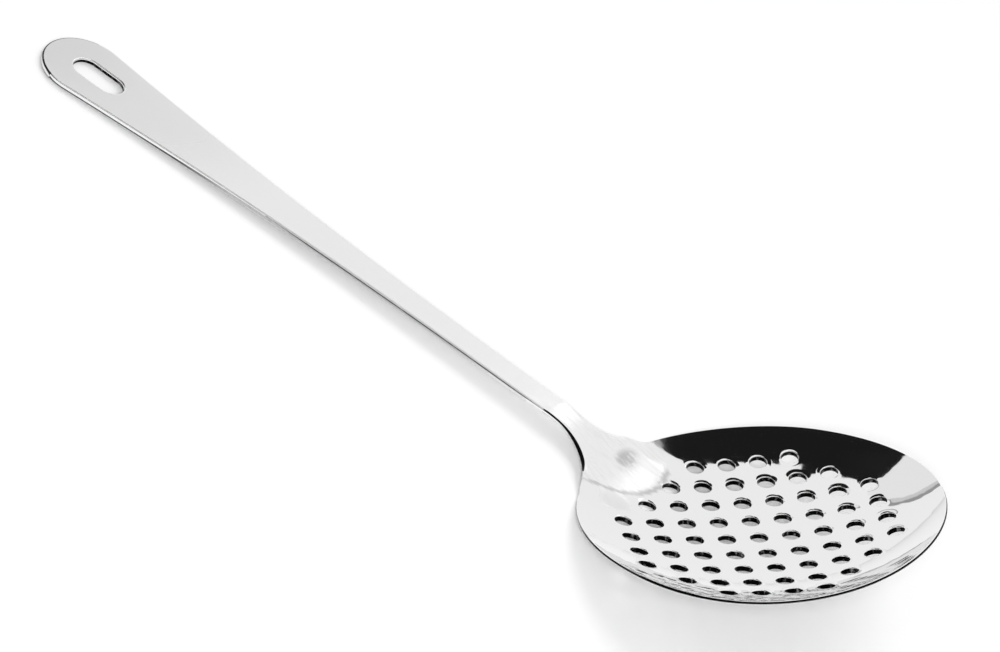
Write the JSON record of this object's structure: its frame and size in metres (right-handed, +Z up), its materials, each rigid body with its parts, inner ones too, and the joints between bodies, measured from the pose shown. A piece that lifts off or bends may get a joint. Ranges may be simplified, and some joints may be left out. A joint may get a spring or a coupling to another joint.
{
  "type": "skimmer",
  "caption": "Stainless-steel kitchen skimmer: a shallow perforated bowl on a long flat handle that flares to a round end with a hanging slot.",
  "frame": {"origin": "on the table surface, under the middle of the skimmer's box as it lies on the heel of its bowl and the end of its handle", "axes": "+X along the handle towards the bowl, +Z up with the bowl open upwards"},
  "size_m": [0.3214, 0.1168, 0.0442],
  "materials": {
    "polished_steel": "mirror polished",
    "satin_steel": "fine satin",
    "weld_steel": "dressed flush, fine grinding strokes"
  },
  "bodies": {
    "root": {"bowl": "polished_steel", "handle": "satin_steel", "neck_weld": "weld_steel"}
  },
  "joints": []
}
